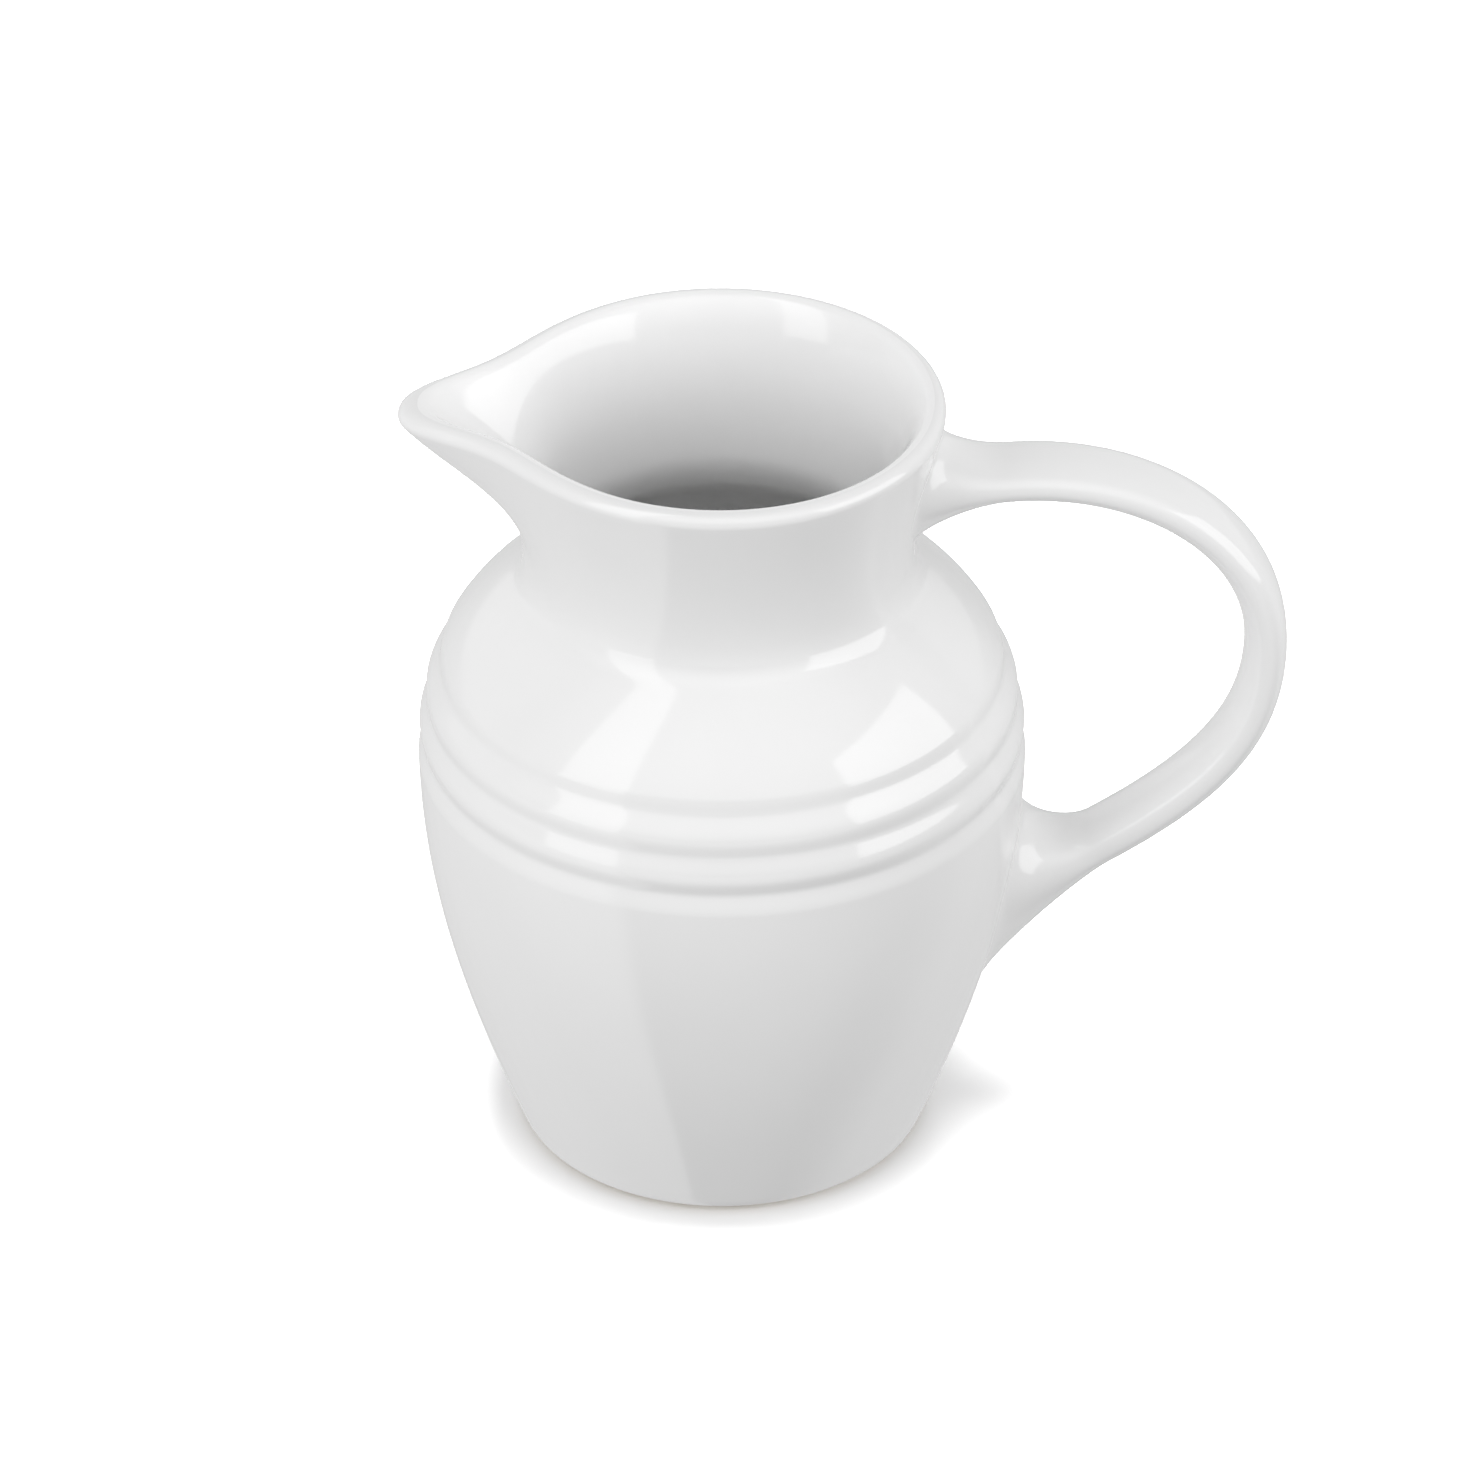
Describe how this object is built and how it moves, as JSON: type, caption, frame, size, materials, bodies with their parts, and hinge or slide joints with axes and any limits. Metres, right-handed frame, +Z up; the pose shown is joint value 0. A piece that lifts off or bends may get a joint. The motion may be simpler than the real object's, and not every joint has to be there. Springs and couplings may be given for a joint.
{
  "type": "small glazed pitcher",
  "caption": "White glazed stoneware pitcher with a round belly, thrown rings round its shoulder, a flared neck with a pulled pouring lip and a strap handle.",
  "frame": {"origin": "centre of the foot, on the plane of the foot ring that rests on the table", "axes": "+Z up; +X from the axis of the vessel towards the handle, and -X towards the tip of the pouring lip; XZ is the plane of symmetry"},
  "size_m": [0.1525, 0.1056, 0.145],
  "materials": {
    "stoneware": "bare fired clay, matt",
    "slip": "bare fired slip, matt",
    "glaze": "glossy white glaze",
    "liner_glaze": "glossy white glaze"
  },
  "bodies": {
    "root": {"body": "stoneware", "handle": "stoneware", "upper_handle_joint": "slip", "lower_handle_joint": "slip", "outer_glaze": "glaze", "inner_glaze": "liner_glaze", "handle_glaze": "glaze", "recess_glaze": "glaze"}
  },
  "joints": []
}
